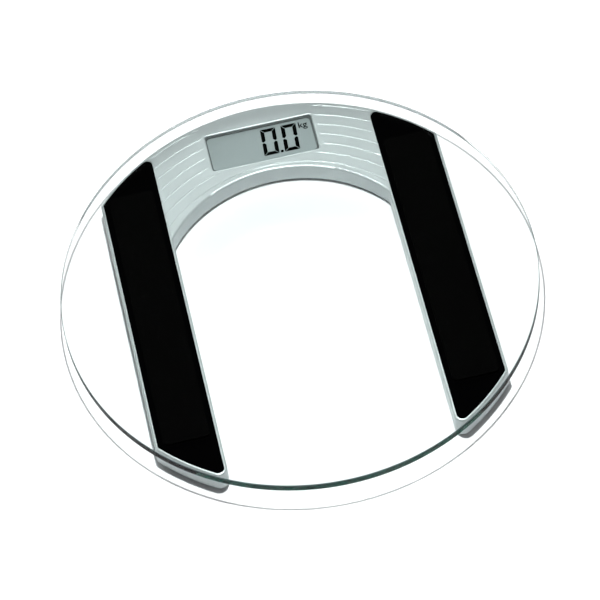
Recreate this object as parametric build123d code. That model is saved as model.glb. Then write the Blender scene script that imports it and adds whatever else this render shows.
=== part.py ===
from build123d import *
from math import cos, radians, sin
import os

# Digital bathroom scale, in millimetres. X is to the right, +Y points from the user to the display
# and +Z is up. The origin is under the centre of the glass, on the floor.

# ---- driving dimensions --------------------------------------------------------------------------
total_height = 25.0
glass_radius = 165.0
glass_thickness = 6.0
glass_edge_round = 0.5
tape_thickness = 2.0
foot_clearance = 2.0
housing_radius = 160.0
housing_centre_y = -1.2
leg_x = 99.5
panel_width = 40.0
rim_width = 2.0
arch_radius = 95.0
arch_centre_y = 6.5
foot_y = 88.0
wall = 2.2
skin = 2.0

# ---- levels, from the floor up -------------------------------------------------------------------
glass_bottom = total_height - glass_thickness
housing_top = glass_bottom - tape_thickness
housing_bottom = foot_clearance
cover_top = housing_bottom + skin
bridge_roof = housing_top - skin
panel_depth = 1.5
leg_roof = housing_top - panel_depth - skin

# ---- housing outline -----------------------------------------------------------------------------
leg_width = panel_width + 2 * rim_width
leg_inner_x = leg_x - leg_width / 2
top_round = 1.6
bottom_round = 1.4
window_round = 0.8
panel_round = 0.3
outer_corner = 4.0
inner_corner = 6.0
arch_corner = 5.0
cover_gap = 0.2
panel_gap = 0.15
tape_inset = 4.0
tape_corner = 3.0
tape_length = 210.0

# ---- grooves and display window ------------------------------------------------------------------
groove_first = 105.0
groove_pitch = 8.3
groove_count = 7
groove_centre_y = 0.6
groove_round = 0.75
groove_depth = 0.35
groove_margin = 3.3
window_length = 77.4
window_width = 32.0
window_corner = 2.0
display_y = 127.0

# ---- display and board ---------------------------------------------------------------------------
lcd_length = 80.0
lcd_width = 36.0
lcd_thickness = 2.8
lcd_ledge = 1.5
lcd_top = bridge_roof - 0.05
lcd_bottom = lcd_top - lcd_thickness
lcd_gap = 0.2
holder_wall = 1.6
holder_bar = 2.5
holder_bar_shortening = 3.1
elastomer_height = 1.75
elastomer_width = 2.0
elastomer_inset = 1.4
board_thickness = 1.6
board_top = lcd_bottom - elastomer_height
board_bottom = board_top - board_thickness
board_length = 96.0
board_width = 40.0
board_corner = 1.5
board_screw_x = 45.0
board_screw_y = 15.5

# ---- components under the board ------------------------------------------------------------------
blob_x = 8.0
blob_radius = 6.5
blob_height = 1.7
capacitor_size = (1.6, 2.4, 1.1)
capacitor_first = (22.0, display_y + 8)
capacitor_pitch = 4.0
capacitor_count = 4
can_capacitor_radius = 3.1
can_capacitor_height = 3.4
can_capacitor_place = (28.0, display_y - 8)
resistor_size = (1.3, 2.1, 0.6)
resistor_first = (-12.0, display_y - 11)
resistor_pitch = 3.2
resistor_count = 6
crystal_radius = 1.1
crystal_length = 6.5
crystal_place = (-10.0, display_y + 10)

# ---- screws: a radius is that of the core, which fills its pilot hole ----------------------------
screw_radius = 1.1
screw_length = 8.0
screw_hole_radius = 1.5
screw_head_radius = 2.5
screw_head_height = 1.2
screw_head_gap = 0.3
boss_radius = 3.2
board_screw_radius = 0.7
board_screw_length = 5.0
board_screw_head_radius = 1.7
board_screw_head_height = 0.9
board_hole_radius = 1.05
board_boss_radius = 2.3
board_pilot_depth = 4.0

# ---- feet and load cells -------------------------------------------------------------------------
foot_radius = 12.5
foot_flange_radius = 14.5
foot_flange_height = 1.2
foot_hole_clearance = 0.4
foot_travel = 0.8
foot_rim_height = 0.6
foot_play = 0.1
pad_radius = 10.5
pad_height = 1.8
pad_groove_radii = (3.0, 6.0, 9.0)
pad_groove_width = 1.0
pad_groove_depth = 0.4
stud_radius = 3.0
cell_size = 34.0
cell_thickness = 2.5
cell_corner = 5.0
cell_bottom = 9.0
cell_top = cell_bottom + cell_thickness
cell_slot = 1.6
cell_frame = 5.0
cell_room_corner = 2.0
tongue_width = 14.0
tongue_corner = 2.0
seat_wall = 2.0
seat_gap = 8.0
gauge_size = (7.0, 9.0, 0.4)
gauge_offset = 7.5
gauge_top = cell_top + gauge_size[2]

# ---- battery -------------------------------------------------------------------------------------
battery_x = 66.0
battery_y = 108.0
coin_radius = 10.0
coin_height = 3.2
coin_bottom = 5.4
coin_round = 0.3
pocket_radius = 10.5
cup_wall = 1.5
cup_ceiling = 9.9
contact_strip = 0.3
contact_x = battery_x - pocket_radius - 0.5
contact_slot = (2.0, 5.0)
lead_slot = (5.0, 6.2, 1.4)
lead_slot_shift = 1.8
door_radius = 13.2
door_gap = 0.3
door_play = 0.1
door_lip = 0.9
door_skirt_radius = 11.8
door_tab_radius = 13.9
door_tab_bottom = cover_top + door_play
door_tab_top = 5.1
door_tab_angle = 34.0
door_notch_angle = 40.0
door_turn = 60.0
tab_room_radius = 14.3
tab_room_top = 5.3
coin_slot_length = 17.0
coin_slot_width = 2.4
coin_slot_depth = 1.4

# ---- unit button and its switch ------------------------------------------------------------------
button_x = -28.0
button_y = display_y
button_radius = 4.0
button_gap = 0.4
button_play = 0.05
button_bottom = housing_bottom + 0.3
button_flange_radius = 5.5
button_flange_height = 0.8
button_round = 0.4
button_stem_radius = 1.5
switch_size = 6.0
switch_height = 3.0
plunger_radius = 1.7
plunger_gap = 0.2
plunger_reach = 0.4
plunger_depth = 0.6
plunger_room = 1.3

# ---- leads ---------------------------------------------------------------------------------------
lead_radius = 0.45
lead_shift = 1.1
lead_bend = 4.0
lead_drop_bend = 1.5
lead_short_bend = 0.8
lead_end_inset = 2.5

sides = (-1, 1)
foot_names = {(-1, -1): "front_left", (1, -1): "front_right", (-1, 1): "rear_left", (1, 1): "rear_right"}


# ---- helpers -------------------------------------------------------------------------------------
def slab(sketch, bottom, top):
    """A sketch raised from one level to another."""
    return extrude(Pos(0, 0, bottom) * sketch, amount=top - bottom)


def disc(x, y, radius, bottom, top):
    return slab(Pos(x, y) * Circle(radius), bottom, top)


def block(x, y, length, width, bottom, top):
    return slab(Pos(x, y) * Rectangle(length, width), bottom, top)


def joined(shapes):
    """Separate solids of one kind, kept apart in one node."""
    return Compound(children=[solid for shape in shapes for solid in shape.solids()])


def corners_near(sketch, x_limits, y_limits=(-1e3, 1e3)):
    """The corners of a flat outline whose distance from the centre line lies between two values."""
    def inside(corner):
        return x_limits[0] < abs(corner.X) < x_limits[1] and y_limits[0] < corner.Y < y_limits[1]
    return [corner for corner in sketch.vertices() if inside(corner)]


# ---- housing -------------------------------------------------------------------------------------
def leg_outline(width, radius):
    """Both legs, their ends cut off by one circle."""
    legs = [Pos(side * leg_x, 0) * Rectangle(width, 2 * glass_radius) for side in sides]
    return (legs[0] + legs[1]) & Pos(0, housing_centre_y) * Circle(radius)


def bridge_outline():
    """The display bridge: everything between the legs' centre lines, outside the arch."""
    reach = Pos(0, housing_radius / 2) * Rectangle(2 * leg_x, housing_radius)
    arch = Pos(0, arch_centre_y) * Circle(arch_radius)
    gap_in_front = Rectangle(2 * leg_inner_x, 2 * arch_centre_y)
    return (reach & Pos(0, housing_centre_y) * Circle(housing_radius)) - arch - gap_in_front


def housing_outline():
    outline = leg_outline(leg_width, housing_radius) + bridge_outline()
    leg_outer_x = leg_x + leg_width / 2
    outline = fillet(corners_near(outline, (leg_outer_x - 1, leg_outer_x + 1)), outer_corner)
    outline = fillet(corners_near(outline, (leg_inner_x - 1, leg_inner_x + 1), (-1e3, 0)), inner_corner)
    return fillet(corners_near(outline, (leg_inner_x - 1, leg_inner_x + 1), (20, 100)), arch_corner)


def panel_outline(gap=0.0):
    """The black panels' shape, or with a gap the recess that takes them."""
    outline = leg_outline(panel_width + 2 * gap, housing_radius - rim_width + gap)
    outer = corners_near(outline, (leg_x + panel_width / 3, housing_radius))
    outline = fillet(outer, outer_corner - rim_width)
    return fillet(corners_near(outline, (0, leg_x - panel_width / 3)), inner_corner - rim_width)


def screw_places():
    """Where the bottom cover is screwed to the housing."""
    places = [(side * (leg_x - 4), end * 118.0) for side in sides for end in sides]
    places += [(side * (leg_x + 14), y) for side in sides for y in (-45.0, 25.0)]
    places += [(side * 24.0, 150.7) for side in sides]
    places += [(side * 46.0, 96.5) for side in sides]
    return places


def board_screw_places():
    return [(side * board_screw_x, display_y + end * board_screw_y) for side in sides for end in sides]


def foot_places():
    return [(name, x_side * leg_x, y_side * foot_y) for (x_side, y_side), name in foot_names.items()]


def cell_square(size, corner):
    return RectangleRounded(size, size, corner)


def grooves():
    """Fine concentric grooves in the bridge; none run into the display window or behind it."""
    field = Pos(0, housing_radius / 2) * Rectangle(2 * leg_inner_x + rim_width, housing_radius)
    clear_corner = window_corner + groove_margin
    clear_near = display_y - window_width / 2 - groove_margin
    clear_far = housing_radius + clear_corner
    clear = RectangleRounded(window_length + 2 * groove_margin, clear_far - clear_near, clear_corner)
    field -= Pos(0, (clear_near + clear_far) / 2) * clear
    field -= Pos(0, arch_centre_y) * Circle(arch_radius + top_round)
    depth = slab(field, housing_top - 1, housing_top + 1)
    level = housing_top + groove_round - groove_depth
    rings = [Torus(groove_first + index * groove_pitch, groove_round) for index in range(groove_count)]
    return [Pos(0, groove_centre_y, level) * ring & depth for ring in rings]


def make_upper_housing():
    outline = housing_outline()
    body = slab(outline, housing_bottom, housing_top)
    body = fillet(body.faces().sort_by(Axis.Z)[-1].edges(), top_round)
    body = fillet(body.faces().sort_by(Axis.Z)[0].edges(), bottom_round)
    inside = offset(outline, -wall, kind=Kind.ARC)
    body -= slab(inside, housing_bottom, bridge_roof)
    body += slab(leg_outline(leg_width, housing_radius) & inside, leg_roof, bridge_roof)
    body -= slab(panel_outline(panel_gap), housing_top - panel_depth, housing_top)
    body -= slab(Pos(0, display_y) * RectangleRounded(window_length, window_width, window_corner),
                 bridge_roof, housing_top)
    window_rim = body.faces().sort_by(Axis.Z)[-1].edges().filter_by_position(
        Axis.X, -window_length / 2, window_length / 2)
    window_rim = window_rim.filter_by_position(
        Axis.Y, display_y - window_width / 2, display_y + window_width / 2)
    body = fillet(window_rim, window_round)
    for x, y in screw_places():
        body += disc(x, y, boss_radius, cover_top, leg_roof)
        body -= disc(x, y, screw_radius, cover_top, cover_top + screw_length)
    for x, y in screw_places():
        if abs(x) < leg_inner_x:
            body += disc(x, y, boss_radius, leg_roof, bridge_roof)
    for x, y in board_screw_places():
        boss = disc(x, y, board_boss_radius, board_top, bridge_roof)
        body += boss - disc(x, y, board_screw_radius, board_top, board_top + board_pilot_depth)
    for _, x, y in foot_places():
        ring = cell_seat() - Rectangle(seat_gap, 2 * cell_size) - Rectangle(2 * cell_size, seat_gap)
        body += slab(Pos(x, y) * ring, cell_top, leg_roof)
    for groove in grooves():
        body -= groove
    return body


def make_panel(side):
    outline = panel_outline() & (Pos(side * leg_x, 0) * Rectangle(leg_width, 2 * glass_radius))
    panel = slab(outline, housing_top - panel_depth, housing_top)
    return fillet(panel.faces().sort_by(Axis.Z)[-1].edges(), panel_round)


def make_adhesive_tape(side):
    """A strip of foam tape between one panel and the glass."""
    strip = Pos(side * leg_x, 0) * RectangleRounded(panel_width - 2 * tape_inset, tape_length, tape_corner)
    return slab(strip, housing_top, glass_bottom)


def make_glass_platform():
    glass = disc(0, 0, glass_radius, glass_bottom, total_height)
    return fillet(glass.edges(), glass_edge_round)


# ---- bottom cover --------------------------------------------------------------------------------
def cell_seat():
    """Ring on the cover that holds a load cell's outer frame up against the housing."""
    inner_size = cell_size - 2 * seat_wall
    return cell_square(cell_size, cell_corner) - cell_square(inner_size, cell_corner - seat_wall)


def make_bottom_cover():
    outline = offset(housing_outline(), -(wall + cover_gap), kind=Kind.ARC)
    cover = slab(outline, housing_bottom, cover_top)
    for _, x, y in foot_places():
        cover += slab(Pos(x, y) * cell_seat(), cover_top, cell_bottom)
        cover -= disc(x, y, foot_radius + foot_hole_clearance, housing_bottom, cover_top)
    for x, y in screw_places():
        cover -= disc(x, y, screw_hole_radius, housing_bottom, cover_top)
        head_room = screw_head_radius + screw_head_gap
        cover -= disc(x, y, head_room, housing_bottom, housing_bottom + screw_head_height)
    cover -= disc(button_x, button_y, button_radius + button_gap, housing_bottom, cover_top)
    return cover + battery_cup() - battery_opening()


def battery_cup():
    """The coin cell's pocket above the cover, wide at its foot for the door's tabs."""
    cup = disc(battery_x, battery_y, tab_room_radius + cup_wall, cover_top, door_tab_top + cup_wall)
    return cup + disc(battery_x, battery_y, pocket_radius + cup_wall, cover_top, cup_ceiling + cup_wall)


def tab_shape(angle, radius, spread):
    """Two opposite sectors, the shape of the door's bayonet tabs."""
    sectors = []
    for start in (angle, angle + 180):
        corners = [(0, 0)]
        for turn in (start - spread / 2, start + spread / 2):
            corners.append((2 * radius * cos(radians(turn)), 2 * radius * sin(radians(turn))))
        sectors.append(make_face(Polyline(*corners, close=True)))
    return Circle(radius) & (sectors[0] + sectors[1])


def battery_opening():
    place = Pos(battery_x, battery_y)
    opening = disc(battery_x, battery_y, door_radius + door_gap, housing_bottom, housing_bottom + door_lip)
    opening += disc(battery_x, battery_y, door_skirt_radius + door_gap, housing_bottom, cover_top)
    opening += disc(battery_x, battery_y, tab_room_radius, cover_top, tab_room_top)
    notch = tab_shape(-door_turn, tab_room_radius, door_notch_angle)
    opening += slab(place * notch, housing_bottom, cover_top)
    opening += disc(battery_x, battery_y, pocket_radius, cover_top, cup_ceiling)
    wall_x = battery_x - pocket_radius
    opening += block(wall_x, battery_y, *contact_slot, coin_bottom, cup_ceiling)
    length, width, height = lead_slot
    lead_y = battery_y + lead_slot_shift
    return opening + block(wall_x, lead_y, length, width, cup_ceiling - height, cup_ceiling)


def make_battery_door():
    """Round cover with a coin slot underneath and two bayonet tabs above the cover's ledge."""
    place = Pos(battery_x, battery_y)
    door = disc(battery_x, battery_y, door_radius, housing_bottom, housing_bottom + door_lip - door_play)
    door += disc(battery_x, battery_y, door_skirt_radius, housing_bottom, door_tab_top)
    door += slab(place * tab_shape(0, door_tab_radius, door_tab_angle), door_tab_bottom, door_tab_top)
    coin_slot = place * RectangleRounded(coin_slot_length, coin_slot_width, coin_slot_width / 2 - 0.1)
    return door - slab(coin_slot, housing_bottom, housing_bottom + coin_slot_depth)


# ---- load cells and feet -------------------------------------------------------------------------
def make_load_cell(x, y):
    """A square steel frame with a centre tongue left standing on its outer side."""
    outer = cell_square(cell_size, cell_corner)
    room = cell_square(cell_size - 2 * cell_frame, cell_room_corner)
    reach = cell_size / 2 - cell_frame
    tongue = Pos(reach / 2, 0) * Rectangle(reach + tongue_width / 2, tongue_width)
    tip_x = -reach + cell_slot + tongue_width / 2
    tongue_tip = Pos(tip_x, 0) * RectangleRounded(tongue_width, tongue_width, tongue_corner)
    root = Pos(reach, 0) * Rectangle(cell_frame / 2, tongue_width)
    plate = outer - room + (tongue + tongue_tip + root)
    turn = 0 if x > 0 else 180
    return slab(Pos(x, y) * Rot(0, 0, turn) * plate, cell_bottom, cell_top)


def make_strain_gauges():
    """A coated gauge on the root of every load cell's tongue."""
    length, width, _ = gauge_size
    shapes = []
    for _, x, y in foot_places():
        outward = 1 if x > 0 else -1
        shapes.append(block(x + outward * gauge_offset, y, length, width, cell_top, gauge_top))
    return joined(shapes)


def make_foot(x, y):
    """Plastic foot: a disc with a retaining flange and a stud that bears on the load cell's tongue."""
    flange_bottom = cover_top + foot_travel + foot_play
    flange_top = flange_bottom + foot_flange_height
    foot = disc(x, y, foot_radius, foot_rim_height, flange_top)
    foot += disc(x, y, foot_flange_radius, flange_bottom, flange_top)
    foot += disc(x, y, stud_radius, flange_top, cell_bottom - foot_play / 2)
    return foot - disc(x, y, pad_radius + foot_play, foot_rim_height, pad_height)


def make_foot_pad(x, y):
    pad = disc(x, y, pad_radius, 0, pad_height)
    for radius in pad_groove_radii:
        groove = Circle(radius + pad_groove_width / 2) - Circle(radius - pad_groove_width / 2)
        pad -= slab(Pos(x, y) * groove, 0, pad_groove_depth)
    return pad


# ---- display, board and button -------------------------------------------------------------------
def make_lcd_panel():
    """Two glass plates: the upper one stops short of the contact ledges on both long sides."""
    middle = lcd_bottom + lcd_thickness / 2
    upper = block(0, display_y, lcd_length, lcd_width - 2 * lcd_ledge, middle, lcd_top)
    return upper + block(0, display_y, lcd_length, lcd_width, lcd_bottom, middle)


def make_lcd_holder():
    room = Rectangle(lcd_length + 2 * lcd_gap, lcd_width + 2 * lcd_gap)
    reach = 2 * (lcd_gap + holder_wall)
    frame = Rectangle(lcd_length + reach, lcd_width + reach) - room
    holder = slab(Pos(0, display_y) * frame, board_top, bridge_roof)
    bars = room & Rectangle(lcd_length + 2 * lcd_gap, lcd_width - 2 * holder_bar_shortening)
    bars -= Rectangle(lcd_length - 2 * holder_bar, lcd_width)
    return holder + slab(Pos(0, display_y) * bars, board_top, lcd_bottom)


def make_elastomer_connectors():
    length = lcd_length - 2 * holder_bar - 1
    shapes = []
    for side in sides:
        y = display_y + side * (lcd_width / 2 - elastomer_inset)
        shapes.append(block(0, y, length, elastomer_width, board_top, lcd_bottom))
    return joined(shapes)


def make_main_board():
    outline = RectangleRounded(board_length, board_width, board_corner)
    board = slab(Pos(0, display_y) * outline, board_bottom, board_top)
    for x, y in board_screw_places():
        board -= disc(x, y, board_hole_radius, board_bottom, board_top)
    return board


def make_chip_blob():
    """Domed epoxy blob over the bare chip, under the board."""
    lowest = board_bottom - blob_height
    sphere_radius = (blob_radius ** 2 + blob_height ** 2) / (2 * blob_height)
    ball = Pos(blob_x, display_y, lowest + sphere_radius) * Sphere(sphere_radius)
    return ball & disc(blob_x, display_y, blob_radius + 1, lowest, board_bottom)


def board_row(first, pitch, count, size):
    """A row of small blocks under the board."""
    length, width, height = size
    return [block(first[0] + pitch * index, first[1], length, width, board_bottom - height, board_bottom)
            for index in range(count)]


def make_board_capacitors():
    shapes = board_row(capacitor_first, capacitor_pitch, capacitor_count, capacitor_size)
    can_bottom = board_bottom - can_capacitor_height
    shapes.append(disc(*can_capacitor_place, can_capacitor_radius, can_bottom, board_bottom))
    return joined(shapes)


def make_board_resistors():
    return joined(board_row(resistor_first, resistor_pitch, resistor_count, resistor_size))


def make_clock_crystal():
    place = Pos(*crystal_place, board_bottom - crystal_radius)
    return place * Rot(0, 90, 0) * Cylinder(crystal_radius, crystal_length)


def screw(x, y, bottom, radius, length, head_radius, head_height):
    """Pan head with a cross recess, pointing up."""
    shape = disc(x, y, head_radius, bottom, bottom + head_height)
    shape += disc(x, y, radius, bottom + head_height, bottom + length)
    length, width = head_radius * 1.1, head_radius * 0.3
    recess = Rectangle(length, width) + Rectangle(width, length)
    return shape - slab(Pos(x, y) * recess, bottom, bottom + head_height * 0.6)


def make_housing_screws():
    shapes = [screw(x, y, housing_bottom, screw_radius, screw_length, screw_head_radius, screw_head_height)
              for x, y in screw_places()]
    return joined(shapes)


def make_board_screws():
    bottom = board_bottom - board_screw_head_height
    sizes = (board_screw_radius, board_screw_length, board_screw_head_radius, board_screw_head_height)
    return joined([screw(x, y, bottom, *sizes) for x, y in board_screw_places()])


def make_unit_switch():
    bottom = board_bottom - switch_height
    body = block(button_x, button_y, switch_size, switch_size, bottom, board_bottom)
    return body - disc(button_x, button_y, plunger_radius + plunger_gap, bottom, bottom + plunger_room)


def make_switch_plunger():
    bottom = board_bottom - switch_height
    return disc(button_x, button_y, plunger_radius, bottom - plunger_reach, bottom + plunger_depth)


def make_unit_button():
    """Push button: its flange rests on the cover and its stem bears on the switch plunger."""
    flange_bottom = cover_top + button_play
    flange_top = flange_bottom + button_flange_height
    plunger_bottom = board_bottom - switch_height - plunger_reach
    button = disc(button_x, button_y, button_radius, button_bottom, flange_top)
    button = fillet(button.faces().sort_by(Axis.Z)[0].edges(), button_round)
    button += disc(button_x, button_y, button_flange_radius, flange_bottom, flange_top)
    return button + disc(button_x, button_y, button_stem_radius, flange_top, plunger_bottom)


# ---- battery, contacts and leads -----------------------------------------------------------------
def make_coin_cell():
    cell = disc(battery_x, battery_y, coin_radius, coin_bottom, coin_bottom + coin_height)
    return fillet(cell.edges(), coin_round)


def make_negative_contact():
    """Leaf spring under the cup's ceiling that presses on the coin cell's upper face."""
    coin_top = coin_bottom + coin_height
    base = block(battery_x, battery_y, 15, 5, cup_ceiling - contact_strip, cup_ceiling)
    tail = block(battery_x - 6.5, battery_y + 3.6, 2, 3.2, cup_ceiling - contact_strip, cup_ceiling)
    leaf = block(battery_x + 5, battery_y, 5, 4, coin_top, coin_top + contact_strip)
    riser = block(battery_x + 7.35, battery_y, contact_strip, 4, coin_top, cup_ceiling)
    return base + tail + leaf + riser


def make_positive_contact():
    """Strip in a slot of the cup's wall, with a finger that bears on the coin cell's rim."""
    tab = block(contact_x, battery_y, contact_strip, 4, coin_bottom + 0.5, cup_ceiling - 0.4)
    reach = battery_x - coin_radius - contact_x - 0.02
    level = coin_bottom + 1
    finger = block(contact_x + reach / 2, battery_y, reach, 3, level, level + contact_strip)
    return tab + finger


def lead(points, bends):
    """A round insulated lead swept along straight runs joined by arcs."""
    path = FilletPolyline(*points, radius=bends)
    return sweep((path ^ 0) * Circle(lead_radius), path=path)


def make_sensor_leads(x_side, y_side):
    """Three leads side by side, from a load cell's gauge to the edge of the board."""
    level = gauge_top + lead_radius
    board_x = board_length / 2 - lead_end_inset
    gauge_x = leg_x + gauge_offset - 0.5
    if y_side < 0:
        plan = [(gauge_x, -foot_y), (leg_x, -foot_y), (leg_x, 52), (71, 81), (55, 117), (board_x, 117)]
    else:
        plan = [(gauge_x, foot_y), (leg_x - 20, foot_y), (60, 131), (board_x, 131)]
    bends = [lead_bend] * (len(plan) - 2) + [lead_drop_bend]
    shapes = []
    for index in (-1, 0, 1):
        shift = index * lead_shift
        points = [(x_side * (x + shift), y + shift, level) for x, y in plan]
        drop = (points[-1][0], points[-1][1], board_top + 0.05)
        shapes.append(lead(points + [drop], bends))
    return joined(shapes)


def make_battery_leads():
    """Two leads from the contacts, round the cup and over the edge of the board."""
    low = cup_ceiling - contact_strip - lead_radius
    high = board_top + lead_radius + 0.15
    starts = ((contact_x - 0.2, battery_y - 0.4), (battery_x - 8, battery_y + 3.6))
    shapes = []
    for index, (x, y) in enumerate(starts):
        turn_x = board_length / 2 + 2.2 + index * lead_shift
        turn_y = display_y - 6.5 + index * lead_shift
        points = [(x, y, low), (turn_x, y, low), (turn_x, y, high), (turn_x, turn_y, high)]
        points.append((board_length / 2 - lead_end_inset, turn_y, high))
        shapes.append(lead(points, [lead_short_bend, lead_short_bend, lead_drop_bend]))
    return joined(shapes)


def main():
    os.makedirs("parts", exist_ok=True)
    parts = {
        "glass_platform": make_glass_platform(),
        "upper_housing": make_upper_housing(),
        "left_panel": make_panel(-1),
        "right_panel": make_panel(1),
        "left_adhesive_tape": make_adhesive_tape(-1),
        "right_adhesive_tape": make_adhesive_tape(1),
        "bottom_cover": make_bottom_cover(),
        "housing_screws": make_housing_screws(),
        "lcd_panel": make_lcd_panel(),
        "lcd_holder": make_lcd_holder(),
        "elastomer_connectors": make_elastomer_connectors(),
        "main_board": make_main_board(),
        "board_screws": make_board_screws(),
        "chip_blob": make_chip_blob(),
        "board_capacitors": make_board_capacitors(),
        "board_resistors": make_board_resistors(),
        "clock_crystal": make_clock_crystal(),
        "unit_switch": make_unit_switch(),
        "switch_plunger": make_switch_plunger(),
        "unit_button": make_unit_button(),
        "coin_cell": make_coin_cell(),
        "positive_contact": make_positive_contact(),
        "negative_contact": make_negative_contact(),
        "battery_leads": make_battery_leads(),
        "battery_door": make_battery_door(),
        "strain_gauges": make_strain_gauges(),
    }
    for (x_side, y_side), place in foot_names.items():
        x, y = x_side * leg_x, y_side * foot_y
        parts[f"load_cell_{place}"] = make_load_cell(x, y)
        parts[f"foot_{place}"] = make_foot(x, y)
        parts[f"foot_pad_{place}"] = make_foot_pad(x, y)
        parts[f"sensor_leads_{place}"] = make_sensor_leads(x_side, y_side)
    for name, shape in parts.items():
        export_step(shape, f"parts/{name}.step")


main()
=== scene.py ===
import math

import bmesh
import bpy
from mathutils import Matrix, Vector


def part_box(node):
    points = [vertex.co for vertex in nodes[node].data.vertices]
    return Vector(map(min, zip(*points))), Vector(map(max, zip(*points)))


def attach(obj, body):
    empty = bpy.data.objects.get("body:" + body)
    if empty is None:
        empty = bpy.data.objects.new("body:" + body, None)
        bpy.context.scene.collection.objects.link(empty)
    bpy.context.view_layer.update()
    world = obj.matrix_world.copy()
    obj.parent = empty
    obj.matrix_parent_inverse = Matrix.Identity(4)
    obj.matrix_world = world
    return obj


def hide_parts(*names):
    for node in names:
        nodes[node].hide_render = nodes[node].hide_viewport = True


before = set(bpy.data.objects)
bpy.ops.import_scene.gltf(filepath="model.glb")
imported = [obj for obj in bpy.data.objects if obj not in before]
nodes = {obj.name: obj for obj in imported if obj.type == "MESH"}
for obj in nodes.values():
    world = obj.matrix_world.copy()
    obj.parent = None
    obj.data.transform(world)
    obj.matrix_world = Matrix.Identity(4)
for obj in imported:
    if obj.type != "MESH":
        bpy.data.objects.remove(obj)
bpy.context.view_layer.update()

scene = bpy.context.scene
MM = 0.001
QUARTER_TURN = 90.0

# ---- places taken from the frame -----------------------------------------------------------------
glass_low, glass_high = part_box("glass_platform")
lcd_low, lcd_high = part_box("lcd_panel")
glass_radius = min(-glass_low.x, glass_high.x, -glass_low.y, glass_high.y)
lcd_middle = (lcd_low + lcd_high) / 2
display_centre = Vector((lcd_middle.x, lcd_middle.y, lcd_high.z))


# ---- camera, at the photograph's angle -----------------------------------------------------------
camera_place = Vector((-0.12915, -1.25686, 1.82938))
camera_right = Vector((0.974801, -0.209770, -0.075893))
camera_up = Vector((0.215501, 0.797618, 0.563351))
camera_lens = 192.4
film_width = 36.0
farthest_seen = 50.0


def make_camera():
    back = camera_right.cross(camera_up)
    data = bpy.data.cameras.new("camera")
    data.sensor_width = film_width
    data.lens = camera_lens
    data.clip_end = farthest_seen
    camera = bpy.data.objects.new("camera", data)
    scene.collection.objects.link(camera)
    turn = Matrix((camera_right, camera_up, back)).transposed()
    camera.matrix_world = Matrix.Translation(camera_place) @ turn.to_4x4()
    scene.camera = camera


# ---- light and floor -----------------------------------------------------------------------------
horizon_strength = 0.5
zenith_strength = 0.001
horizon_top = 0.2
dark_from = 0.5
light_bounces = 48
see_through_layers = 16
floor_half = 6.0
floor_drop = 0.2 * MM


def make_softbox(name, place, target, size, watts):
    """A rectangular lamp that points at its target and isn't seen itself."""
    data = bpy.data.lights.new(name, "AREA")
    data.shape = "RECTANGLE"
    data.size, data.size_y = size
    data.energy = watts
    lamp = bpy.data.objects.new(name, data)
    scene.collection.objects.link(lamp)
    lamp.location = place
    lamp.rotation_euler = (Vector(target) - Vector(place)).to_track_quat("-Z", "Y").to_euler()
    lamp.visible_camera = False


def make_world():
    """Pale at the horizon and dark higher up, so that the glass top mirrors nothing bright."""
    world = bpy.data.worlds.new("studio")
    world.use_nodes = True
    tree = world.node_tree
    background = tree.nodes["Background"]
    background.inputs["Color"].default_value = (0.95, 0.97, 1.0, 1.0)
    direction = tree.nodes.new("ShaderNodeTexCoord")
    parts = tree.nodes.new("ShaderNodeSeparateXYZ")
    fade = tree.nodes.new("ShaderNodeMapRange")
    fade.inputs["From Min"].default_value = horizon_top
    fade.inputs["From Max"].default_value = dark_from
    fade.inputs["To Min"].default_value = horizon_strength
    fade.inputs["To Max"].default_value = zenith_strength
    tree.links.new(direction.outputs["Generated"], parts.inputs["Vector"])
    tree.links.new(parts.outputs["Z"], fade.inputs["Value"])
    tree.links.new(fade.outputs["Result"], background.inputs["Strength"])
    scene.world = world


def make_light():
    """A small lamp overhead for crisp lines, a soft fill in front and a long strip behind."""
    make_world()
    make_softbox("overhead_lamp", (0.0, 0.0, 1.15), (0.0, 0.0, 0.0), (0.04, 0.04), 16.5)
    make_softbox("front_softbox", (0.45, -0.75, 2.0), (0.0, 0.0, 0.0), (2.2, 1.3), 5)
    make_softbox("rear_strip", (-0.2, 2.2, 0.85), (0.0, 0.1, 0.0), (2.4, 0.6), 52)
    scene.view_settings.view_transform = "Standard"
    scene.cycles.max_bounces = light_bounces
    scene.cycles.glossy_bounces = light_bounces
    scene.cycles.transmission_bounces = light_bounces
    scene.cycles.transparent_max_bounces = see_through_layers


def make_floor():
    mesh = bpy.data.meshes.new("floor")
    half = floor_half
    corners = [(-half, -half, 0), (half, -half, 0), (half, half, 0), (-half, half, 0)]
    mesh.from_pydata(corners, [], [(0, 1, 2, 3)])
    floor = bpy.data.objects.new("floor", mesh)
    scene.collection.objects.link(floor)
    floor.location.z = -floor_drop
    mesh.materials.append(plastic("floor_white", (0.86, 0.87, 0.88), roughness=0.25, specular=0.35,
                                  variation=0.01, grain=0.02, bump=0.0))


# ---- materials -----------------------------------------------------------------------------------
glass_ior = 1.5
glass_tint = (0.0, 0.37, 0.30, 1.0)
glass_density = 10.2
noise_detail = 3.0
noise_low = 0.3
noise_high = 0.7
blotches_per_metre = 35.0
roughness_spread = 0.06
smoothest = 0.02
coat_roughness = 0.15
bump_height = 0.05 * MM


def start_material(name):
    material = bpy.data.materials.new(name)
    material.use_nodes = True
    tree = material.node_tree
    shader = tree.nodes["Principled BSDF"]
    return material, tree, shader


def noise(tree, scale):
    """A noise texture in the object's own metres."""
    coordinates = tree.nodes.new("ShaderNodeTexCoord")
    texture = tree.nodes.new("ShaderNodeTexNoise")
    texture.inputs["Scale"].default_value = scale
    texture.inputs["Detail"].default_value = noise_detail
    tree.links.new(coordinates.outputs["Object"], texture.inputs["Vector"])
    return texture


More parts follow.
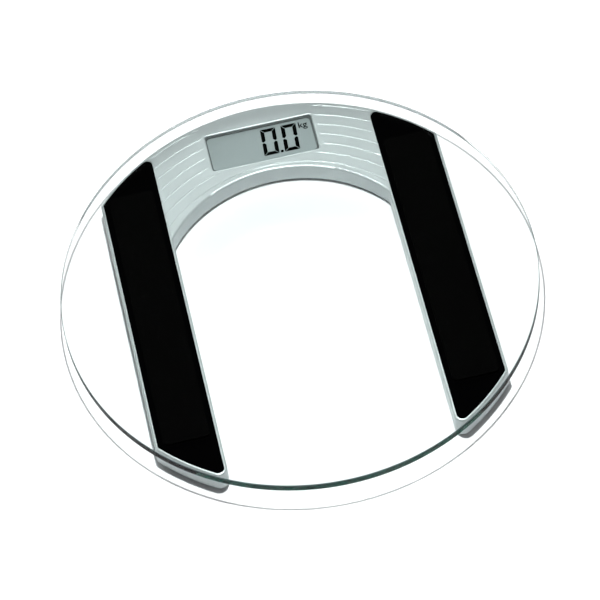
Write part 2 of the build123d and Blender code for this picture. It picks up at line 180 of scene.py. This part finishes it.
def ramp(tree, source, low, high):
    """Turns a noise value into a colour between two."""
    node = tree.nodes.new("ShaderNodeValToRGB")
    node.color_ramp.elements[0].position = noise_low
    node.color_ramp.elements[1].position = noise_high
    node.color_ramp.elements[0].color = (*low, 1.0)
    node.color_ramp.elements[1].color = (*high, 1.0)
    tree.links.new(source.outputs["Fac"], node.inputs["Fac"])
    return node


def spread(tree, source, low, high):
    """Turns a noise value into a number between two."""
    node = tree.nodes.new("ShaderNodeMapRange")
    node.inputs["From Min"].default_value = noise_low
    node.inputs["From Max"].default_value = noise_high
    node.inputs["To Min"].default_value = low
    node.inputs["To Max"].default_value = high
    tree.links.new(source.outputs["Fac"], node.inputs["Value"])
    return node


def add_bump(tree, shader, source, strength, distance):
    node = tree.nodes.new("ShaderNodeBump")
    node.inputs["Strength"].default_value = strength
    node.inputs["Distance"].default_value = distance
    tree.links.new(source.outputs["Fac"], node.inputs["Height"])
    tree.links.new(node.outputs["Normal"], shader.inputs["Normal"])


def plastic(name, colour, roughness=0.5, specular=0.5, metallic=0.0, variation=0.04, grain=0.6,
            bump=0.15, coat=0.0):
    """A surface with a little colour and roughness variation and a fine texture, grain in millimetres."""
    material, tree, shader = start_material(name)
    shader.inputs["Metallic"].default_value = metallic
    shader.inputs["Specular IOR Level"].default_value = specular
    shader.inputs["Coat Weight"].default_value = coat
    shader.inputs["Coat Roughness"].default_value = coat_roughness
    blotch = noise(tree, blotches_per_metre)
    low = [c * (1.0 - variation) for c in colour]
    high = [min(1.0, c * (1.0 + variation)) for c in colour]
    tree.links.new(ramp(tree, blotch, low, high).outputs["Color"], shader.inputs["Base Color"])
    fine = noise(tree, 1.0 / (grain * MM))
    roughest = min(1.0, roughness + roughness_spread)
    rough = spread(tree, fine, max(smoothest, roughness - roughness_spread), roughest)
    tree.links.new(rough.outputs["Result"], shader.inputs["Roughness"])
    if bump > 0:
        add_bump(tree, shader, fine, bump, bump_height)
    return material


def soften_outside(tree, shader, gloss):
    """Outer faces keep only this share of their mirroring; faces met from inside are left alone."""
    bend = tree.nodes.new("ShaderNodeBsdfRefraction")
    bend.inputs["Roughness"].default_value = 0.0
    bend.inputs["IOR"].default_value = glass_ior
    geometry = tree.nodes.new("ShaderNodeNewGeometry")
    share = tree.nodes.new("ShaderNodeMath")
    share.operation = "MAXIMUM"
    share.inputs[1].default_value = gloss
    tree.links.new(geometry.outputs["Backfacing"], share.inputs[0])
    mix = tree.nodes.new("ShaderNodeMixShader")
    tree.links.new(share.outputs["Value"], mix.inputs["Fac"])
    tree.links.new(bend.outputs["BSDF"], mix.inputs[1])
    tree.links.new(shader.outputs["BSDF"], mix.inputs[2])
    return mix


def clear_glass(name, shade, gloss):
    """Polished clear glass with the green of iron inside.

    Lamps shine straight through it, weakened by the shade. With a gloss under one, the outside mirrors less;
    the inside still turns light back along the disc."""
    material, tree, shader = start_material(name)
    shader.inputs["Base Color"].default_value = (1.0, 1.0, 1.0, 1.0)
    shader.inputs["Transmission Weight"].default_value = 1.0
    shader.inputs["Roughness"].default_value = 0.0
    shader.inputs["IOR"].default_value = glass_ior
    output = tree.nodes["Material Output"]
    absorption = tree.nodes.new("ShaderNodeVolumeAbsorption")
    absorption.inputs["Color"].default_value = glass_tint
    absorption.inputs["Density"].default_value = glass_density
    tree.links.new(absorption.outputs["Volume"], output.inputs["Volume"])
    through = tree.nodes.new("ShaderNodeBsdfTransparent")
    through.inputs["Color"].default_value = (shade, shade, shade, 1.0)
    path = tree.nodes.new("ShaderNodeLightPath")
    either = tree.nodes.new("ShaderNodeMath")
    either.operation = "MAXIMUM"
    tree.links.new(path.outputs["Is Shadow Ray"], either.inputs[0])
    tree.links.new(path.outputs["Is Diffuse Ray"], either.inputs[1])
    surface = shader
    if gloss < 1.0:
        surface = soften_outside(tree, shader, gloss)
    mix = tree.nodes.new("ShaderNodeMixShader")
    tree.links.new(either.outputs["Value"], mix.inputs["Fac"])
    tree.links.new(surface.outputs[0], mix.inputs[1])
    tree.links.new(through.outputs["BSDF"], mix.inputs[2])
    tree.links.new(mix.outputs["Shader"], output.inputs["Surface"])
    return material


def paint(node, material):
    mesh = nodes[node].data
    mesh.materials.clear()
    mesh.materials.append(material)


def paint_each(node_names, material):
    for node in node_names:
        paint(node, material)


def paint_shell():
    """Housing, panels, tapes and cover."""
    silver = plastic("silver_paint", (0.415, 0.455, 0.455), roughness=0.36, metallic=0.55,
                     variation=0.02, grain=0.35, bump=0.06)
    black = plastic("black_panel", (0.0006, 0.0006, 0.0007), roughness=0.8, specular=0.0, grain=0.5,
                    bump=0.05)
    foam = plastic("black_foam", (0.0006, 0.0006, 0.0006), roughness=0.8, specular=0.01, grain=0.8, bump=0.1)
    grey = plastic("grey_moulding", (0.36, 0.38, 0.385), roughness=0.55, grain=0.5, bump=0.3)
    paint("upper_housing", silver)
    paint_each(("left_panel", "right_panel"), black)
    paint_each(("left_adhesive_tape", "right_adhesive_tape"), foam)
    paint_each(("bottom_cover", "battery_door"), grey)


def paint_display():
    """The cell's face and the frame that holds it."""
    face = plastic("lcd_face", (0.23, 0.27, 0.27), roughness=0.3, variation=0.03, grain=0.4, bump=0.02)
    paint("lcd_panel", face)
    paint("lcd_holder", plastic("white_moulding", (0.78, 0.78, 0.76), roughness=0.5))


def paint_underside(steel):
    """Feet and their pads, load cells, screws and the button."""
    rubber = plastic("pad_rubber", (0.05, 0.05, 0.052), roughness=0.85, specular=0.3, grain=0.7, bump=0.4)
    foot = plastic("foot_plastic", (0.20, 0.21, 0.22), roughness=0.5, grain=0.5, bump=0.25)
    zinc = plastic("zinc_steel", (0.68, 0.69, 0.70), roughness=0.3, metallic=1.0, grain=0.3, bump=0.05)
    for name in nodes:
        if name.startswith("foot_pad"):
            paint(name, rubber)
        elif name.startswith("foot_"):
            paint(name, foot)
        elif name.startswith("load_cell"):
            paint(name, steel)
        elif name.endswith("screws"):
            paint(name, zinc)
    black = plastic("button_black", (0.02, 0.02, 0.021), roughness=0.45, grain=0.4, bump=0.2)
    paint("unit_button", black)


def paint_board(steel):
    """The circuit board and what is soldered to it."""
    green = plastic("board_green", (0.015, 0.12, 0.05), roughness=0.4, variation=0.1, grain=0.4,
                    bump=0.15, coat=0.3)
    epoxy = plastic("black_epoxy", (0.012, 0.012, 0.013), roughness=0.25, grain=0.6, bump=0.1)
    tan = plastic("tan_ceramic", (0.40, 0.27, 0.16), roughness=0.5, grain=0.2, bump=0.1)
    dark = plastic("dark_ceramic", (0.03, 0.03, 0.035), roughness=0.45, grain=0.2, bump=0.1)
    zebra = plastic("zebra_rubber", (0.07, 0.07, 0.075), roughness=0.7, grain=0.2, bump=0.3)
    cream = plastic("switch_cream", (0.62, 0.60, 0.52), roughness=0.45, grain=0.3, bump=0.1)
    paint("main_board", green)
    paint("chip_blob", epoxy)
    paint("board_capacitors", tan)
    paint("board_resistors", dark)
    paint("clock_crystal", steel)
    paint("elastomer_connectors", zebra)
    paint_each(("unit_switch", "switch_plunger"), cream)


def paint_wiring():
    """The coin cell and its contacts, the leads and the gauges."""
    cell = plastic("cell_steel", (0.72, 0.72, 0.71), roughness=0.24, metallic=1.0, grain=0.5, bump=0.03)
    contact = plastic("contact_plating", (0.70, 0.66, 0.56), roughness=0.28, metallic=1.0, grain=0.3,
                      bump=0.05)
    red = plastic("red_insulation", (0.45, 0.02, 0.02), roughness=0.4, grain=0.5, bump=0.1)
    pale = plastic("pale_insulation", (0.55, 0.55, 0.53), roughness=0.4, grain=0.5, bump=0.1)
    varnish = plastic("gauge_varnish", (0.42, 0.16, 0.05), roughness=0.3, grain=0.3, bump=0.1, coat=0.4)
    paint("coin_cell", cell)
    paint_each(("positive_contact", "negative_contact"), contact)
    paint("battery_leads", red)
    paint_each([name for name in nodes if name.startswith("sensor_leads")], pale)
    paint("strain_gauges", varnish)


def paint_all():
    steel = plastic("nickel_steel", (0.62, 0.62, 0.60), roughness=0.32, metallic=1.0, grain=0.4, bump=0.05)
    paint_shell()
    paint_display()
    paint_underside(steel)
    paint_board(steel)
    paint_wiring()


# ---- pieces --------------------------------------------------------------------------------------
def add_piece(name, mesh, body, material=None):
    piece = bpy.data.objects.new(name, mesh)
    scene.collection.objects.link(piece)
    if material is not None:
        mesh.materials.append(material)
    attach(piece, body)
    return piece


upper_arris = 0.5 * MM
lower_arris = 0.2 * MM
arris_steps = 5
disc_segments = 360
same_height = 0.001 * MM


def disc_profile():
    """Radius and height up the edge: lower arris, upright side, upper arris."""
    turns = [math.radians(QUARTER_TURN * step / arris_steps) for step in range(arris_steps + 1)]
    lower = [(glass_radius - lower_arris * (1 - math.sin(turn)),
              glass_low.z + lower_arris * (1 - math.cos(turn))) for turn in turns]
    upper = [(glass_radius - upper_arris * (1 - math.cos(turn)),
              glass_high.z - upper_arris * (1 - math.sin(turn))) for turn in turns]
    return lower + upper


def circle_points(radius, count):
    turns = [2 * math.pi * step / count for step in range(count)]
    return [(radius * math.cos(turn), radius * math.sin(turn)) for turn in turns]


def tape_corners(node):
    """Where the node meets the glass: its corners, counterclockwise."""
    low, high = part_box(node)
    return [(low.x, low.y), (high.x, low.y), (high.x, high.y), (low.x, high.y)]


def fill_underside(build, rim):
    """Closes the underside with faces that follow the tapes' outlines; returns each tape's corners."""
    rim_verts = set(rim)
    borders = [edge for edge in build.edges if all(vert in rim_verts for vert in edge.verts)]
    tapes = []
    for node in ("left_adhesive_tape", "right_adhesive_tape"):
        verts = [build.verts.new((x, y, glass_low.z)) for x, y in tape_corners(node)]
        for index, vert in enumerate(verts):
            borders.append(build.edges.new((vert, verts[(index + 1) % len(verts)])))
        tapes.append(verts)
    bmesh.ops.triangle_fill(build, edges=borders, use_beauty=True, use_dissolve=False)
    return tapes


def make_glass_disc():
    """The platform's glass: flat faces, an upright edge, a polished lower arris and a ground upper one,
    whose dark colour is painted shade for the dark line along the rim.

    The tapes are bonded to its underside, so the faces there are the tape's black, with no air between."""
    clear, edge, tape, ground_shaded_arris = range(4)
    build = bmesh.new()
    rings = [[build.verts.new((x, y, height)) for x, y in circle_points(radius, disc_segments)]
             for radius, height in disc_profile()]
    arris_start = glass_high.z - upper_arris - same_height
    for lower, upper in zip(rings, rings[1:]):
        for step in range(disc_segments):
            after = (step + 1) % disc_segments
            face = build.faces.new((lower[step], lower[after], upper[after], upper[step]))
            face.material_index = ground_shaded_arris if lower[0].co.z >= arris_start else edge
            face.smooth = True
    build.faces.new(rings[-1]).material_index = clear
    tapes = fill_underside(build, rings[0])
    bmesh.ops.recalc_face_normals(build, faces=build.faces)
    for face in build.faces:
        if any(all(vert in verts for vert in face.verts) for verts in tapes):
            face.material_index = tape
    mesh = bpy.data.meshes.new("glass_disc")
    build.to_mesh(mesh)
    build.free()
    mesh.materials.append(clear_glass("clear_glass", shade=0.99, gloss=1.0))
    mesh.materials.append(clear_glass("clear_glass_edge", shade=0.03, gloss=0.3))
    mesh.materials.append(bpy.data.materials["black_foam"])
    # The upper arris is ground glass, and its dark grey-green colour is painted shade that draws the dark
    # line along the rim.
    mesh.materials.append(plastic("ground_arris_painted_shade", (0.07, 0.10, 0.10), roughness=0.45, grain=0.3, bump=0.2))
    disc = add_piece("glass_disc", mesh, "platform")
    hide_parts("glass_platform")


def prism(build, outline, low, high):
    """A flat outline, given counterclockwise, raised between two levels."""
    bottom = [build.verts.new((x, y, low)) for x, y in outline]
    top = [build.verts.new((x, y, high)) for x, y in outline]
    build.faces.new(list(reversed(bottom)))
    build.faces.new(top)
    count = len(outline)
    for index in range(count):
        after = (index + 1) % count
        build.faces.new((bottom[index], bottom[after], top[after], top[index]))


digit_width = 11.0 * MM
digit_height = 23.4 * MM
bar_width = 2.8 * MM
bar_gap = 0.22 * MM
tip_outer = 0.3
tip_point = 0.45
tip_inner = 0.5
digit_lean = math.tan(math.radians(3.1))
digit_lefts = (-0.5 * MM, 14.5 * MM)
digits_below_centre = 11.0 * MM
dot_left = 11.4 * MM
dot_radius = 1.15 * MM
dot_segments = 24
ink_low = 0.005 * MM
ink_high = 0.03 * MM
sign_size = 7.4 * MM
sign_swell = 0.1 * MM
sign_half_height = 0.012 * MM
sign_left = 27.9 * MM
sign_above_centre = 7.0 * MM


def zero_segments():
    """The six lit bars of a 0, in its own upright rectangle."""
    width, height, bar, gap = digit_width, digit_height, bar_width, bar_gap
    middle = height / 2 + gap
    side = [(0, middle + bar * tip_outer), (bar * tip_point, middle), (bar, middle + bar * tip_inner),
            (bar, height - bar - gap), (0, height - gap)]
    top = [(gap, height), (bar + gap, height - bar), (width - bar - gap, height - bar),
           (width - gap, height)]
    bars = [side, top, [(width - x, y) for x, y in side]]
    bars += [[(x, height - y) for x, y in shape] for shape in bars]
    return bars


def digit_place(points, left):
    """Moves a digit's outline to its place on the display, with the lean."""
    base_y = display_centre.y - digits_below_centre
    return [(left + x + digit_lean * y, base_y + y) for x, y in points]


def make_digits():
    """0.0 in seven-segment bars that lean to the right, just above the cell's face."""
    build = bmesh.new()
    low, high = display_centre.z + ink_low, display_centre.z + ink_high
    for left in digit_lefts:
        for outline in zero_segments():
            prism(build, digit_place(outline, left), low, high)
    dot = [(dot_radius + x, dot_radius + y) for x, y in circle_points(dot_radius, dot_segments)]
    prism(build, digit_place(dot, dot_left), low, high)
    bmesh.ops.recalc_face_normals(build, faces=build.faces)
    mesh = bpy.data.meshes.new("lcd_digits")
    build.to_mesh(mesh)
    build.free()
    ink = plastic("lcd_ink", (0.0015, 0.0017, 0.0017), roughness=0.6, specular=0.0, grain=0.5, bump=0.02)
    add_piece("lcd_digits", mesh, "platform", ink)
    make_unit_sign(ink, low)


def make_unit_sign(ink, level):
    """The sign kg beside the digits."""
    curve = bpy.data.curves.new("lcd_unit", "FONT")
    curve.body = "kg"
    curve.size = sign_size
    curve.offset = sign_swell
    curve.extrude = sign_half_height
    sign = bpy.data.objects.new("unit_text", curve)
    scene.collection.objects.link(sign)
    bpy.context.view_layer.update()
    mesh = bpy.data.meshes.new_from_object(sign.evaluated_get(bpy.context.evaluated_depsgraph_get()))
    bpy.data.objects.remove(sign)
    place = (sign_left, display_centre.y + sign_above_centre, level + sign_half_height)
    mesh.transform(Matrix.Translation(place))
    mesh.materials.clear()
    add_piece("lcd_unit", mesh, "platform", ink)


# Size of the dark ring in the display window, which is painted shade of the recess. The shift makes it wider
# on the far and right sides, like a cast shadow.
shade_gasket_length = 77.3 * MM
shade_gasket_width = 31.9 * MM
shade_gasket_corner = 2.0 * MM
shade_gasket_wall = 1.0 * MM
shade_gasket_shift = 0.4 * MM
shade_gasket_inner_corner = 3.0 * MM
shade_gasket_height = 1.2 * MM
shade_gasket_round = 0.3 * MM
corner_steps = 8


def rounded_rectangle(length, width, corner):
    """Corner points about the origin, counterclockwise."""
    points = []
    centres = ((1, 1), (-1, 1), (-1, -1), (1, -1))
    for quarter, (x_side, y_side) in enumerate(centres):
        for step in range(corner_steps + 1):
            turn = math.radians(QUARTER_TURN * (quarter + step / corner_steps))
            points.append((x_side * (length / 2 - corner) + corner * math.cos(turn),
                           y_side * (width / 2 - corner) + corner * math.sin(turn)))
    return points


def ring_wall(name, outer, inner, low, high, round_off):
    """A closed ring between two outlines of equal count, its inner top edge cut back by the rounding."""
    build = bmesh.new()
    middle = [((a[0] + b[0]) / 2, (a[1] + b[1]) / 2) for a, b in zip(inner, outer)]
    levels = [(outer, low), (outer, high), (middle, high), (inner, high - round_off), (inner, low)]
    loops = [[build.verts.new((x, y, z)) for x, y in outline] for outline, z in levels]
    count = len(outer)
    for index, loop in enumerate(loops):
        following = loops[(index + 1) % len(loops)]
        for step in range(count):
            after = (step + 1) % count
            build.faces.new((loop[step], loop[after], following[after], following[step]))
    bmesh.ops.recalc_face_normals(build, faces=build.faces)
    mesh = bpy.data.meshes.new(name)
    build.to_mesh(mesh)
    build.free()
    return mesh


def make_shade_gasket():
    """A dark ring that lines the display window between the housing and the cell. Its dark colour is painted
    shade for the window's recess.

    It is thicker on the far and right sides, where it paints the shadow that the window's far and right
    walls cast on the cell."""
    outer = rounded_rectangle(shade_gasket_length, shade_gasket_width, shade_gasket_corner)
    inner = rounded_rectangle(shade_gasket_length - 2 * shade_gasket_wall, shade_gasket_width - 2 * shade_gasket_wall,
                              shade_gasket_inner_corner)
    inner = [(x - shade_gasket_shift, y - shade_gasket_shift) for x, y in inner]
    low = display_centre.z
    mesh = ring_wall("display_shade_gasket", outer, inner, low, low + shade_gasket_height, shade_gasket_round)
    mesh.transform(Matrix.Translation((display_centre.x, display_centre.y, 0)))
    # Dark grey-green ring colour: painted shade inside the display window, not a lit rubber part.
    dark = plastic("gasket_painted_shade", (0.07, 0.08, 0.08), roughness=0.7, specular=0.2, grain=0.5, bump=0.1)
    add_piece("display_shade_gasket", mesh, "platform", dark)


# ---- the scene -----------------------------------------------------------------------------------
make_camera()
make_light()
make_floor()
paint_all()
make_glass_disc()
make_digits()
make_shade_gasket()
